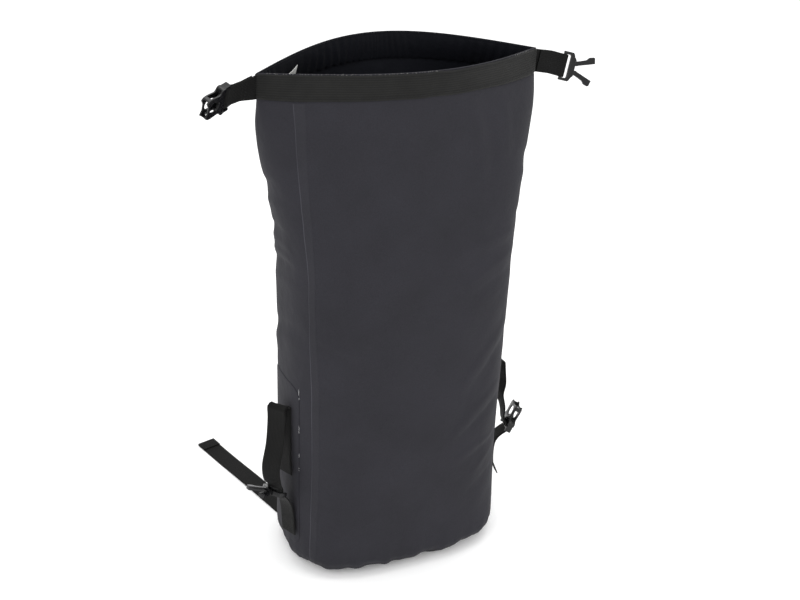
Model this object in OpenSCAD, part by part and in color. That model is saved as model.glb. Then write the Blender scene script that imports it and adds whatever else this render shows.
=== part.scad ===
// Roll-top dry bag with carrying straps, standing open on its base.
// Origin: centre of the base, on the floor. +Z up, front towards -Y, left towards -X.

/* [Bag] */
// Height of the open mouth's corners above the floor
mouth_h = 600; // [540:5:660]
// Width of the body
body_w = 262; // [230:2:290]
// Depth of the body, front to back
body_d = 174; // [150:2:190]
// Width of the open mouth, corner to corner
mouth_w = 320; // [300:2:340]
// Depth of the open mouth, front to back
mouth_d = 152; // [120:2:170]
// Thickness of the coated fabric
fabric_t = 1.2; // [0.8:0.1:2]
// How much higher the mouth is at its middle than at its corners
mouth_rise = 10; // [0:1:20]

/* [Webbing] */
// Width of all the webbing
web_w = 25; // [20:1:30]
// Thickness of one layer of webbing
web_t = 1.5; // [1:0.1:2]
// Length of the left mouth tab, from the corner to the socket's bar
left_tab_len = 33; // [26:1:40]
// Length of the right mouth tab, from the corner to the plug's bar
right_tab_len = 31.5; // [26:1:40]
// Length of the loose lower webbing that lies on the floor
tail_len = 195; // [120:5:240]

/* [Buckles] */
// Outer width of the buckles
buckle_w = 32; // [30:0.5:34]
// Distance from the webbing bar to the tips of the prongs
plug_len = 34; // [32:0.5:38]
// Distance from the webbing bar to the mouth of the socket
socket_len = 32; // [30:0.5:36]
// Thickness of the socket
socket_t = 8.6; // [8:0.2:11]
// Radius of the bars that hold webbing
bar_r = 2; // [1.8:0.1:2.2]
// Clearance between a bar and the webbing around it
bar_gap = 0.1; // [0.05:0.05:0.2]

/* [Shoulder straps] */
// Distance between the centres of the two straps
pad_spacing = 124; // [110:2:150]
// Width of a strap's padding
pad_w = 58; // [45:1:70]
// Length of a strap's padding
pad_len = 330; // [250:10:360]
// Thickness of a strap's padding
pad_t = 11; // [6:1:14]
// Height of the straps' upper ends
pad_top_z = 500; // [470:5:510]

/* [Hidden] */

// Colours
fabric_colour = [0.20, 0.20, 0.21];
tape_colour = [0.24, 0.24, 0.25];
webbing_colour = [0.10, 0.10, 0.11];
plastic_colour = [0.06, 0.06, 0.07];
lining_colour = [0.07, 0.07, 0.09];

// Outline of the bag: height, then half width, half depth and corner exponent at that height
roll_h = mouth_h - 40;
outline = [
    [0, 0.44 * body_w, 0.37 * body_d, 2.9],
    [12, 0.485 * body_w, 0.46 * body_d, 3.0],
    [25, 0.5 * body_w, 0.493 * body_d, 3.0],
    [60, 0.502 * body_w, 0.489 * body_d, 2.8],
    [145, 0.502 * body_w, 0.494 * body_d, 2.6],
    [255, 0.503 * body_w, 0.5 * body_d, 2.6],
    [360, 0.5 * body_w, 0.506 * body_d, 2.9],
    [460, 0.54 * body_w, 0.477 * body_d, 2.5],
    [roll_h, 0.495 * mouth_w, 0.475 * mouth_d, 1.9],
    [mouth_h, 0.5 * mouth_w, 0.5 * mouth_d, 1.8]];
widths = [for (r = outline) [r[0], r[1]]];
depths = [for (r = outline) [r[0], r[2]]];
exponents = [for (r = outline) [r[0], r[3]]];
wall_rings = [12, 25, 60, 110, 160, 210, 255, 310, 360, 410, 460, 510, roll_h, 580, mouth_h];
base_rings = [0, 4, 12];
left_seam = 212;
right_seam = 352;
round_steps = 48;

function clamp01(v) = min(1, max(0, v));
// How far the outline has changed from a rounded box to the pointed lens of the mouth
function lens(z) = clamp01((z - roll_h + 20) / (mouth_h - roll_h + 20));
function power(v, e) = sign(v) * pow(abs(v), e);
// A point of the bag's surface at height z and turn a (0 is the right corner, 270 the front),
// moved outwards by off
function skin(z, a, off = 0) =
    let (n = lookup(z, exponents), s = power(cos(a), 2 / n), m = lens(z))
    let (box_y = power(sin(a), 2 / n), lens_y = sign(sin(a)) * cos(90 * s))
    [(lookup(z, widths) + off) * s,
     (lookup(z, depths) + off) * ((1 - m) * box_y + m * lens_y),
     z + mouth_rise * cos(90 * s) * pow(z / mouth_h, 4)];

// A closed shell between two offsets of the bag's surface, over a range of turns and heights
module skin_strip(a0, a1, heights, inner, outer, steps) {
    rows = len(heights);
    cols = steps + 1;
    turns = [for (i = [0:steps]) a0 + (a1 - a0) * i / steps];
    out_pts = [for (z = heights, a = turns) skin(z, a, outer)];
    in_pts = [for (z = heights, a = turns) skin(z, a, inner)];
    n = rows * cols;
    function o(j, i) = j * cols + i;
    function k(j, i) = n + j * cols + i;
    faces = concat(
        [for (j = [0:rows - 2], i = [0:steps - 1]) [o(j, i), o(j + 1, i), o(j + 1, i + 1), o(j, i + 1)]],
        [for (j = [0:rows - 2], i = [0:steps - 1]) [k(j, i), k(j, i + 1), k(j + 1, i + 1), k(j + 1, i)]],
        [for (i = [0:steps - 1]) [o(0, i), o(0, i + 1), k(0, i + 1), k(0, i)]],
        [for (i = [0:steps - 1]) [o(rows - 1, i + 1), o(rows - 1, i), k(rows - 1, i), k(rows - 1, i + 1)]],
        [for (j = [0:rows - 2]) [o(j + 1, 0), o(j, 0), k(j, 0), k(j + 1, 0)]],
        [for (j = [0:rows - 2]) [o(j, steps), o(j + 1, steps), k(j + 1, steps), k(j, steps)]]);
    polyhedron(concat(out_pts, in_pts), faces, convexity = 6);
}

// A closed ring of the bag's surface between two offsets
module skin_ring(heights, inner, outer, steps) {
    rows = len(heights);
    turns = [for (i = [0:steps - 1]) 360 * i / steps];
    out_pts = [for (z = heights, a = turns) skin(z, a, outer)];
    in_pts = [for (z = heights, a = turns) skin(z, a, inner)];
    n = rows * steps;
    function o(j, i) = j * steps + i % steps;
    function k(j, i) = n + j * steps + i % steps;
    faces = concat(
        [for (j = [0:rows - 2], i = [0:steps - 1]) [o(j, i), o(j + 1, i), o(j + 1, i + 1), o(j, i + 1)]],
        [for (j = [0:rows - 2], i = [0:steps - 1]) [k(j, i), k(j, i + 1), k(j + 1, i + 1), k(j + 1, i)]],
        [for (i = [0:steps - 1]) [o(0, i), o(0, i + 1), k(0, i + 1), k(0, i)]],
        [for (i = [0:steps - 1]) [o(rows - 1, i + 1), o(rows - 1, i), k(rows - 1, i), k(rows - 1, i + 1)]]);
    polyhedron(concat(out_pts, in_pts), faces, convexity = 6);
}

// ---- Fabric body ----
module front_panel() {
    color(fabric_colour) skin_strip(left_seam, right_seam, wall_rings, -fabric_t, 0, 20);
}

module back_panel() {
    color(fabric_colour) skin_strip(right_seam - 360, left_seam, wall_rings, -fabric_t, 0, 30);
}

// The base is a shallow tray: a flat oval with a turned-up edge that the walls are welded to
module base_panel() {
    steps = round_steps;
    turns = [for (i = [0:steps - 1]) 360 * i / steps];
    out_pts = [for (z = base_rings, a = turns) skin(z, a)];
    in_pts = [for (z = base_rings, a = turns) let (p = skin(z, a, -fabric_t)) [p[0], p[1], max(z, fabric_t)]];
    rows = len(base_rings);
    n = rows * steps;
    function o(j, i) = j * steps + i % steps;
    function k(j, i) = n + j * steps + i % steps;
    faces = concat(
        [for (j = [0:rows - 2], i = [0:steps - 1]) [o(j, i), o(j + 1, i), o(j + 1, i + 1), o(j, i + 1)]],
        [for (j = [0:rows - 2], i = [0:steps - 1]) [k(j, i), k(j, i + 1), k(j + 1, i + 1), k(j + 1, i)]],
        [for (i = [0:steps - 1]) [o(rows - 1, i + 1), o(rows - 1, i), k(rows - 1, i), k(rows - 1, i + 1)]],
        [[for (i = [0:steps - 1]) o(0, i)]],
        [[for (i = [steps - 1:-1:0]) k(0, i)]]);
    color(fabric_colour) polyhedron(concat(out_pts, in_pts), faces, convexity = 4);
}

// Tape welded inside, over the joint between the base and the walls
module base_weld_tape() {
    color(tape_colour) skin_ring([5, 12, 25, 30], -fabric_t - 0.5, -fabric_t, round_steps);
}

tape_w_deg = 4;
tape_rings = [25, 60, 145, 255, 360, 460, 510, roll_h, mouth_h - web_w - 4];

module left_seam_tape() {
    color(tape_colour)
        skin_strip(left_seam - tape_w_deg / 2, left_seam + tape_w_deg / 2, tape_rings, 0, 0.4, 2);
}

module right_seam_tape() {
    color(tape_colour)
        skin_strip(right_seam - tape_w_deg / 2, right_seam + tape_w_deg / 2, tape_rings, 0, 0.4, 2);
}

// ---- Rim ----
rim_rings = [mouth_h - web_w - 1, mouth_h - web_w / 2, mouth_h - 1];

// The two bands meet edge to edge at the bag's corners, where the tabs are sewn in
module rim_band(a0, a1) {
    color(webbing_colour) skin_strip(a0, a1, rim_rings, 0.1, 0.1 + web_t, 28);
}

module front_rim_band() { rim_band(182, 358); }

module back_rim_band() { rim_band(2, 178); }

stiffener_rings = [mouth_h - web_w + 3, mouth_h - web_w / 2, mouth_h - 5];

module rim_stiffener(a0, a1) {
    color(plastic_colour) skin_strip(a0, a1, stiffener_rings, -fabric_t - 0.9, -fabric_t - 0.1, 22);
}

module front_rim_stiffener() { rim_stiffener(196, 344); }

module back_rim_stiffener() { rim_stiffener(16, 164); }

// The lining's turned-down hem, gathered, which hides the stiffeners
module inner_hem() {
    hem = [mouth_h - 40, mouth_h - web_w, mouth_h - web_w / 2, mouth_h - 1];
    color(lining_colour) skin_ring(hem, -fabric_t - 1.8, -fabric_t - 1, round_steps);
}

module care_label() {
    label_a = 134;
    color("white")
        skin_strip(label_a, label_a + 8, [mouth_h - 38, mouth_h - 25, mouth_h - 12],
            -fabric_t - 2.4, -fabric_t - 1.9, 2);
}

// ---- Side patches and side straps ----
patch_rings = [32, 60, 145, 250];
patch_half = 16.5;

module side_patch(turn) {
    color(tape_colour)
        skin_strip(turn - patch_half, turn + patch_half, patch_rings, 0.45, 0.9, 6);
}

module left_side_patch() { side_patch(180); }

module right_side_patch() { side_patch(360); }

// A strip of webbing of even thickness along a path of [outward distance, height] points
module ribbon(path, half) {
    n = len(path);
    function dir(i) =
        let (a = path[max(0, i - 1)], b = path[min(n - 1, i + 1)], d = b - a) d / norm(d);
    function side(i, s) = path[i] + s * half * [-dir(i)[1], dir(i)[0]];
    polygon(concat([for (i = [0:n - 1]) side(i, 1)], [for (i = [n - 1:-1:0]) side(i, -1)]));
}

loop_r = bar_r + bar_gap + web_t / 2;

// Points of an arc around a centre
function arc(c, r, a0, a1, n) = [for (i = [0:n]) let (a = a0 + (a1 - a0) * i / n) c + r * [cos(a), sin(a)]];

// Each strap stands in a frame on the bag's side: X outwards, Z up, leaning a little sideways.
// Values: side, depth position, heading, lean
strap_foot_z = 45;
left_strap_frame = [-1, -25, 198, 6.5];
right_strap_frame = [1, -20, -18, -7];
left_bar = [16.5, 109];
right_bar = [19.5, 127];

// Paths of [outward distance, height]: up from the sewn foot, round the buckle's bar,
// up and over a fold, and down to the sewn inner end
left_path = concat([[4.4, 49], [4.4, 80], [8, 95]], arc(left_bar, loop_r, -115, 0, 6),
    [[20.8, 117.5], [26, 128], [26.5, 146], [18.5, 172], [13.6, 200]], arc([7.8, 213], 5, 10, 170, 8),
    [[2.8, 204], [2.4, 190], [2.4, 128]]);
right_path = concat([[9.6, 67], [3.8, 80], [3.6, 104], [8, 116]], arc(right_bar, loop_r, -115, 50, 9),
    [[16.4, 132.4], [14.6, 138], [13.6, 154], [9.6, 172], [11.8, 188], [10.6, 205]],
    arc([6.2, 214], 3.6, 10, 170, 8), [[2.6, 206], [2.4, 180]]);

module on_side(f) {
    translate([f[0] * body_w / 2, f[1], strap_foot_z]) rotate([0, 0, f[2]]) rotate([f[3], 0, 0])
        translate([0, 0, -strap_foot_z]) children();
}

module side_strap(path) {
    color(webbing_colour) rotate([90, 0, 0])
        linear_extrude(web_w, center = true) ribbon(path, web_t / 2);
}

module left_side_strap() { on_side(left_strap_frame) side_strap(left_path); }

module right_side_strap() { on_side(right_strap_frame) side_strap(right_path); }

// ---- Buckles: +X is the way they point, Y their width, the bar is on the Y axis ----
slot_end = 6.2;
side_t = 3;
plug_t = 5;
prong_t = 4.4;
prong_pivot = [14.5, 5.2];
prong_r = 2.7;
root_proud = 0.2;
prong_lean = 20;
pivot_gap = 0.08;
// Half outlines as [along, half width], from the slot to the tip
plug_edge = [[slot_end, buckle_w / 2], [8.6, buckle_w / 2], [10, 14.4], [11.2, 11.4], [13.3, 9]];
socket_edge = [[slot_end, buckle_w / 2], [9.6, buckle_w / 2], [11.2, 14.6], [12.6, 12], [15, 11.2], [20, 11.8],
    [25, 12.3], [29, 11.8], [socket_len, 9.4], [socket_len - 0.9, 7.2], [socket_len - 2.6, 4]];

// The outline on both sides of the X axis
module both_sides(edge) {
    last = len(edge) - 1;
    polygon(concat([for (p = edge) [p[0], -p[1]]], [for (i = [last:-1:0]) edge[i]]));
}

module bar() {
    rotate([90, 0, 0]) cylinder(h = buckle_w - 2 * side_t + 0.2, r = bar_r, center = true, $fn = 32);
}

// Two side rails from the bar to the block, filled in at the slot's far corners
module buckle_frame(t) {
    half = buckle_w / 2;
    for (s = [-1, 1]) {
        translate([(slot_end - bar_r) / 2, s * (half - side_t / 2), 0])
            cube([slot_end + bar_r, side_t, t], center = true);
        scale([1, s, 1]) translate([0, 0, -t / 2]) linear_extrude(t)
            polygon([[slot_end + 1, half - side_t - 1.4], [slot_end, half - side_t - 1.4],
                [slot_end - 0.9, half - side_t], [slot_end - 0.9, half - 1], [slot_end + 1, half - 1]]);
    }
    bar();
}

module plug_base() {
    buckle_frame(plug_t);
    difference() {
        translate([0, 0, -plug_t / 2]) linear_extrude(plug_t) both_sides(plug_edge);
        for (s = [-1, 1])
            translate([prong_pivot[0], s * prong_pivot[1], -plug_t])
                cylinder(h = 2 * plug_t, r = prong_r + pivot_gap, $fn = 32);
    }
}

// One springy prong: a round root in the base's hollow, an arm that leans outwards and a barb at its tip
module prong(side) {
    arm = (plug_len - prong_pivot[0]) / cos(prong_lean);
    scale([1, side, 1]) translate([prong_pivot[0], prong_pivot[1], -prong_t / 2]) {
        translate([0, 0, -root_proud]) cylinder(h = prong_t + 2 * root_proud, r = prong_r, $fn = 32);
        rotate(prong_lean) linear_extrude(prong_t)
            polygon([[0, -2.4], [arm - 0.8, -prong_r], [arm, 3.4], [arm - 1.2, 4.6], [arm - 6, 4.9],
                [arm - 9.6, prong_r], [0, 2.4]]);
    }
}

// The block, with a room for the prongs, a window in each side and an oval one through both faces
module socket() {
    room_z = prong_t + 1.2;
    room_y = 10.8;
    room_x = slot_end + 3.2;
    buckle_frame(socket_t - 1.6);
    difference() {
        translate([0, 0, -socket_t / 2]) linear_extrude(socket_t) both_sides(socket_edge);
        translate([room_x, -room_y, -room_z / 2]) cube([socket_len, 2 * room_y, room_z]);
        translate([room_x + 1.2, -buckle_w, -room_z / 2]) cube([15, 2 * buckle_w, room_z]);
        for (x = [19.3, 21.3])
            translate([x, 0, -socket_t]) cylinder(h = 2 * socket_t, r = 6, $fn = 40);
    }
}

// ---- Mouth tabs and buckles: X along the tab, Z its width, Y its thickness ----
corner_x = mouth_w / 2 + 4.5;
corner_z = mouth_h - web_w / 2 - 1;
// Values: place, heading, droop, roll, length
left_tab = [[-corner_x, 0, corner_z], 200, 7, -22, left_tab_len];
// the right tab's root stands this much further out, clear of the ends of both bands
right_tab_out = 1.5;
right_tab = [[corner_x + right_tab_out, 0, corner_z], -1, 18, -12, right_tab_len];
left_turn = 10;
right_turn = -26;

module tab_frame(f) {
    translate(f[0]) rotate([0, 0, f[1]]) rotate([0, f[2], 0]) rotate([f[3], 0, 0]) children();
}

// The bands' ends, folded round the buckle's bar and sewn back on themselves
module mouth_tab(f) {
    color(webbing_colour) tab_frame(f) {
        difference() {
            union() {
                translate([0, -web_t, -web_w / 2]) cube([f[4] - 2, 2 * web_t, web_w]);
                cylinder(h = web_w, r = web_t, center = true, $fn = 24);
                translate([f[4], 0, 0])
                    cylinder(h = web_w, r = bar_r + bar_gap + web_t, center = true, $fn = 40);
            }
            translate([f[4], 0, 0])
                cylinder(h = web_w + 2, r = bar_r + bar_gap, center = true, $fn = 40);
        }
    }
}

module left_mouth_tab() { mouth_tab(left_tab); }

module right_mouth_tab() { mouth_tab(right_tab); }

module at_tab_end(f, turn) {
    tab_frame(f) translate([f[4], 0, 0]) rotate([0, 0, turn]) rotate([90, 0, 0]) children();
}

module mouth_socket() { color(plastic_colour) at_tab_end(left_tab, left_turn) socket(); }

module mouth_plug() { color(plastic_colour) at_tab_end(right_tab, right_turn) plug_base(); }

module mouth_plug_upper_prong() { color(plastic_colour) at_tab_end(right_tab, right_turn) prong(1); }

module mouth_plug_lower_prong() { color(plastic_colour) at_tab_end(right_tab, right_turn) prong(-1); }

// ---- Side buckles ----
plug_pitch = -21;
socket_pitch = -64;

module at_side_bar(f, bar_at, pitch) {
    on_side(f) translate([bar_at[0], 0, bar_at[1]]) rotate([0, pitch, 0]) children();
}

module at_left_bar() { at_side_bar(left_strap_frame, left_bar, plug_pitch) children(); }

module at_right_bar() { at_side_bar(right_strap_frame, right_bar, socket_pitch) children(); }

module side_plug() { color(plastic_colour) at_left_bar() plug_base(); }

module side_plug_front_prong() { color(plastic_colour) at_left_bar() prong(1); }

module side_plug_back_prong() { color(plastic_colour) at_left_bar() prong(-1); }

module side_socket() { color(plastic_colour) at_right_bar() socket(); }

// ---- Shoulder straps on the back ----
pad_y = body_d / 2 + 6;
pad_bottom_z = pad_top_z - pad_len;
lock_z = pad_bottom_z - 32;
hinge_z = pad_top_z + 6;
hinge_y = pad_y + pad_t / 2;

module shoulder_anchor_patch() {
    color(tape_colour) skin_strip(60, 120, [490, 520, 545], 0.1, 0.7, 8);
}

// Doubled webbing sewn to the patch; the strap flexes where it ends
anchor_path = [[77.6, hinge_z + 32], [77.2, hinge_z + 15], [82, hinge_z + 6.5], [91, hinge_z + 1.5],
    [hinge_y - 1.9, hinge_z]];

module across(x, width) {
    translate([x, 0, 0]) rotate([90, 0, 90]) linear_extrude(width, center = true) children();
}

module shoulder_anchor(x) {
    color(webbing_colour) across(x, web_w) ribbon(anchor_path, web_t);
}

module left_shoulder_anchor() { shoulder_anchor(-pad_spacing / 2); }

module right_shoulder_anchor() { shoulder_anchor(pad_spacing / 2); }

module shoulder_pad(x) {
    r = pad_w / 2 - 8;
    color(fabric_colour) translate([x, pad_y + pad_t, 0]) rotate([90, 0, 0]) linear_extrude(pad_t) {
        translate([-pad_w / 2, pad_bottom_z + r]) square([pad_w, pad_len - 2 * r]);
        translate([-pad_w / 2 + r, pad_bottom_z]) square([pad_w - 2 * r, pad_len]);
        for (sx = [-1, 1], z = [pad_bottom_z + r, pad_top_z - r])
            translate([sx * (pad_w / 2 - r), z]) circle(r = r, $fn = 48);
    }
}

module left_shoulder_pad() { shoulder_pad(-pad_spacing / 2); }

module right_shoulder_pad() { shoulder_pad(pad_spacing / 2); }

// Webbing sewn down the pad: a flexible upper end, and a loop round the ladder lock's bar
web_y = pad_y + pad_t + 0.1;

module shoulder_webbing(x) {
    mid_y = web_y + web_t / 2;
    strip = [[mid_y, lock_z + 2.7], [mid_y, pad_top_z + 0.8], [mid_y - 2, hinge_z - 1.4],
        [hinge_y + 1, hinge_z]];
    color(webbing_colour) {
        across(x, web_w) ribbon(strip, web_t / 2);
        across(x, web_w) translate([hinge_y, hinge_z]) circle(r = web_t, $fn = 24);
        across(x, web_w) translate([web_y, lock_z]) difference() {
            circle(r = bar_r + bar_gap + web_t, $fn = 40);
            circle(r = bar_r + bar_gap, $fn = 40);
        }
    }
}

module left_shoulder_webbing() { shoulder_webbing(-pad_spacing / 2); }

module right_shoulder_webbing() { shoulder_webbing(pad_spacing / 2); }

lock_len = 24;

// A ladder lock: a frame with a top bar for the strap and two slots for lower webbing
module ladder_lock(x) {
    half = buckle_w / 2;
    lock_t = 4;
    slot_w = buckle_w - 2 * side_t;
    color(plastic_colour) translate([x, web_y, lock_z]) {
        rotate([0, 90, 0]) cylinder(h = buckle_w - 2, r = bar_r, center = true, $fn = 32);
        difference() {
            translate([-half, -lock_t / 2, -lock_len]) cube([buckle_w, lock_t, lock_len + bar_r]);
            translate([-slot_w / 2, -lock_t, -5.4]) cube([slot_w, 2 * lock_t, 9]);
            for (z = [-12.5, -20])
                translate([-slot_w / 2, -lock_t, z]) cube([slot_w, 2 * lock_t, 4.5]);
        }
    }
}

module left_ladder_lock() { ladder_lock(-pad_spacing / 2); }

module right_ladder_lock() { ladder_lock(pad_spacing / 2); }

// ---- Lower webbing: sewn into the base seam, its hemmed end lying on the floor ----
tail_root = [101.6, 76];
tail_heading = 15.2;
hem_len = 18;

module tail_frame(side) {
    scale([side, 1, 1]) translate([tail_root[0], tail_root[1], 0]) rotate([0, 0, -tail_heading]) children();
}

// Sewn into the seam at the base's corner, coming down to where the webbing meets the floor
tail_anchor_path = [[-4.6, 30], [-4.5, 22], [-4.4, 12], [-3.2, 5], [-1.3, 1.5]];

module tail_anchor() {
    color(webbing_colour) tail_frame(1)
        rotate([90, 0, 90]) linear_extrude(web_w, center = true) ribbon(tail_anchor_path, web_t / 2);
}

module tail_webbing() {
    color(webbing_colour) tail_frame(1) {
        translate([-web_w / 2, 0, 0]) cube([web_w, tail_len, web_t]);
        translate([-web_w / 2, 0, web_t / 2]) rotate([0, 90, 0]) cylinder(d = web_t, h = web_w);
        translate([-web_w / 2, tail_len - hem_len, web_t]) cube([web_w, hem_len, web_t]);
    }
}

module left_tail_anchor() { mirror([1, 0, 0]) tail_anchor(); }

module right_tail_anchor() { tail_anchor(); }

module left_tail_webbing() { mirror([1, 0, 0]) tail_webbing(); }

module right_tail_webbing() { tail_webbing(); }

front_panel();
back_panel();
base_panel();
base_weld_tape();
left_seam_tape();
right_seam_tape();
front_rim_band();
back_rim_band();
front_rim_stiffener();
back_rim_stiffener();
inner_hem();
care_label();
left_side_patch();
right_side_patch();
left_side_strap();
right_side_strap();
left_mouth_tab();
right_mouth_tab();
mouth_socket();
mouth_plug();
mouth_plug_upper_prong();
mouth_plug_lower_prong();
side_plug();
side_plug_front_prong();
side_plug_back_prong();
side_socket();
shoulder_anchor_patch();
left_shoulder_anchor();
right_shoulder_anchor();
left_shoulder_pad();
right_shoulder_pad();
left_shoulder_webbing();
right_shoulder_webbing();
left_ladder_lock();
right_ladder_lock();
left_tail_anchor();
right_tail_anchor();
left_tail_webbing();
right_tail_webbing();
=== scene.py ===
"""Looks of a roll-top dry bag standing open: fabric, webbing, buckles, padding, light and camera.
Lengths are millimetres in the CAD frame; meshes, camera and lights are written in metres."""
import math

import bmesh
import bpy
import numpy as np
from mathutils import Matrix, Vector


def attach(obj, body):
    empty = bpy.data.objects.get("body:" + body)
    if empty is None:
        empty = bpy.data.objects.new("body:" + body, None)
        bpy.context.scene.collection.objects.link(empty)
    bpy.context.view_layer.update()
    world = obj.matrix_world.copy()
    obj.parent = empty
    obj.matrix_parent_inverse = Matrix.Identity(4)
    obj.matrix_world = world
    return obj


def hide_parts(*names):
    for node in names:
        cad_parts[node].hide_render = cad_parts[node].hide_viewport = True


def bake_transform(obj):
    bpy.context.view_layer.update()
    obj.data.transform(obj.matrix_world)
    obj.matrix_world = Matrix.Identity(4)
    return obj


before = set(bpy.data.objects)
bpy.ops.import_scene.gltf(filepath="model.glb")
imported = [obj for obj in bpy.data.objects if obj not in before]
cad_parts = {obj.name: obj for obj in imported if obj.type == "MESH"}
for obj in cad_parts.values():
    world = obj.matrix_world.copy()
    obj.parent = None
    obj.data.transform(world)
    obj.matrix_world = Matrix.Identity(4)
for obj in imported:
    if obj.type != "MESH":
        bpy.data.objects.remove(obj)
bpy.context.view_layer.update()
scene = bpy.context.scene
MM = 0.001


# ---------------------------------------------------------------- camera
def make_camera():
    """Looks down at the bag from the front left, a little rolled."""
    azimuth, down, roll = math.radians(25), math.radians(26.78), math.radians(2.33)
    aim, distance = Vector((0.0089, 0, 0.3172)), 1.5
    level = math.cos(down)
    forward = Vector((math.sin(azimuth) * level, math.cos(azimuth) * level, -math.sin(down)))
    right = Vector((math.cos(azimuth), -math.sin(azimuth), 0))
    up = right.cross(forward)
    x = right * math.cos(roll) + up * math.sin(roll)
    y = up * math.cos(roll) - right * math.sin(roll)
    place = aim - forward * distance
    data = bpy.data.cameras.new("camera")
    data.lens = 59
    data.sensor_width = 36
    camera = bpy.data.objects.new("camera", data)
    camera.matrix_world = Matrix.Translation(place) @ Matrix((x, y, -forward)).transposed().to_4x4()
    scene.collection.objects.link(camera)
    scene.camera = camera


make_camera()


# ---------------------------------------------------------------- the bag's surface
MOUTH_H, ROLL_H, WEB_W, WEB_T, FABRIC_T = 600, 560, 25, 1.5, 1.2
BODY_W, BODY_D, MOUTH_W = 262, 174, 320
# height, half width, half depth, corner exponent
OUTLINE = np.array([
    [0, 0.44 * BODY_W, 0.37 * BODY_D, 2.9], [12, 0.485 * BODY_W, 0.46 * BODY_D, 3.0],
    [25, 0.5 * BODY_W, 0.493 * BODY_D, 3.0], [60, 0.502 * BODY_W, 0.489 * BODY_D, 2.8],
    [145, 0.502 * BODY_W, 0.494 * BODY_D, 2.6], [255, 0.503 * BODY_W, 0.5 * BODY_D, 2.6],
    [360, 0.5 * BODY_W, 0.506 * BODY_D, 2.9], [460, 0.54 * BODY_W, 0.477 * BODY_D, 2.5],
    [ROLL_H, 0.495 * MOUTH_W, 0.475 * 152, 1.9], [MOUTH_H, 0.5 * MOUTH_W, 0.5 * 152, 1.8]])


def smooth_column(z, column):
    """Monotone cubic through one column of the outline."""
    xs, ys = OUTLINE[:, 0], OUTLINE[:, column]
    h = np.diff(xs)
    slope = np.diff(ys) / h
    m = np.zeros(len(xs))
    m[0], m[-1] = slope[0], slope[-1]
    for i in range(1, len(xs) - 1):
        if slope[i - 1] * slope[i] > 0:
            w1, w2 = 2 * h[i] + h[i - 1], h[i] + 2 * h[i - 1]
            m[i] = (w1 + w2) / (w1 / slope[i - 1] + w2 / slope[i])
    z = np.clip(z, xs[0], xs[-1])
    i = np.clip(np.searchsorted(xs, z, side="right") - 1, 0, len(xs) - 2)
    t = (z - xs[i]) / h[i]
    return ((1 + 2 * t) * (1 - t) ** 2 * ys[i] + t * (1 - t) ** 2 * h[i] * m[i]
            + t * t * (3 - 2 * t) * ys[i + 1] + t * t * (t - 1) * h[i] * m[i + 1])


def plain(z, turn):
    """The bag's smooth surface, as in the CAD: height and turn (0 right, 270 front) to a point."""
    z, turn = np.broadcast_arrays(np.asarray(z, float), np.asarray(turn, float))
    wide, deep, n = (smooth_column(z, c) for c in (1, 2, 3))
    c, s = np.cos(np.radians(turn)), np.sin(np.radians(turn))
    across = np.sign(c) * np.abs(c) ** (2 / n)
    box = np.sign(s) * np.abs(s) ** (2 / n)
    lens = np.sign(s) * np.cos(np.pi / 2 * across)
    m = np.clip((z - ROLL_H + 20) / (MOUTH_H - ROLL_H + 20), 0, 1)
    m = m * m * (3 - 2 * m)
    rise = 10 * np.cos(np.pi / 2 * across) * (z / MOUTH_H) ** 4
    return np.stack([wide * across, deep * ((1 - m) * box + m * lens), z + rise], -1)


TURNS = np.linspace(-90, 270, 1441)
AROUND = np.concatenate([[0], np.cumsum(np.linalg.norm(np.diff(plain(255, TURNS), axis=0), axis=1))])
GIRTH = AROUND[-1]


def turn_at(s):
    """Turn at a distance round the bag from the middle of the front, to the right at mid height."""
    return np.interp(np.mod(s, GIRTH), AROUND, TURNS)


def distance_at(turn):
    """Distance round the bag from the middle of the front, from -GIRTH/2 to GIRTH/2."""
    s = np.interp(np.mod(np.asarray(turn, float) + 90, 360) - 90, TURNS, AROUND)
    return np.where(s > GIRTH / 2, s - GIRTH, s)


def waves(s, z, length, seed):
    """Soft random waves, repeating round the girth."""
    rng = np.random.default_rng(seed)
    total = 0
    for _ in range(7):
        k = round(GIRTH / length * rng.uniform(0.5, 1.6))
        kz = 2 * np.pi / length * rng.uniform(-1.2, 1.2)
        total = total + np.sin(2 * np.pi * k * s / GIRTH + kz * z + rng.uniform(0, 2 * np.pi))
    return total / 7 * 1.6


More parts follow.
